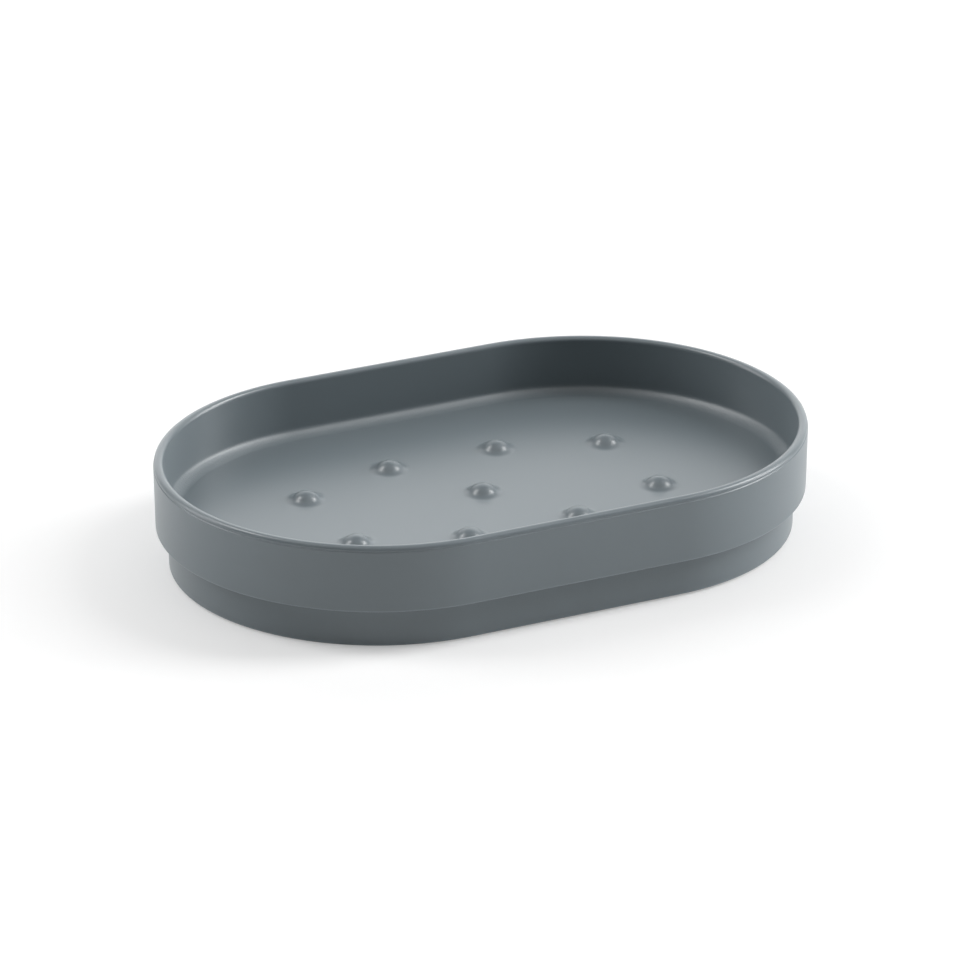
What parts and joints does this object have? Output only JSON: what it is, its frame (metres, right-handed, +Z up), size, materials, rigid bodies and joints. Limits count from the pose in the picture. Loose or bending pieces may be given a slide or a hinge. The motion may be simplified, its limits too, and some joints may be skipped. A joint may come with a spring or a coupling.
{
  "type": "soap dish",
  "caption": "Stadium-shaped moulded soap dish with an upright rim band stepped out over a set-back base, a sunk tray floor with domed studs, and push-in feet.",
  "frame": {"origin": "middle of the dish on the surface that it stands on", "axes": "+X along the dish's long side, +Y across it, +Z up out of the tray"},
  "size_m": [0.135, 0.0894, 0.0224],
  "materials": {
    "grey_plastic": "satin, through-coloured cool grey, very fine mould texture",
    "soft_foot": "matte, dark grey soft plastic"
  },
  "bodies": {
    "root": {"dish_body": "grey_plastic", "foot_front_left": "soft_foot", "foot_front_right": "soft_foot", "foot_back_left": "soft_foot", "foot_back_right": "soft_foot"}
  },
  "joints": []
}
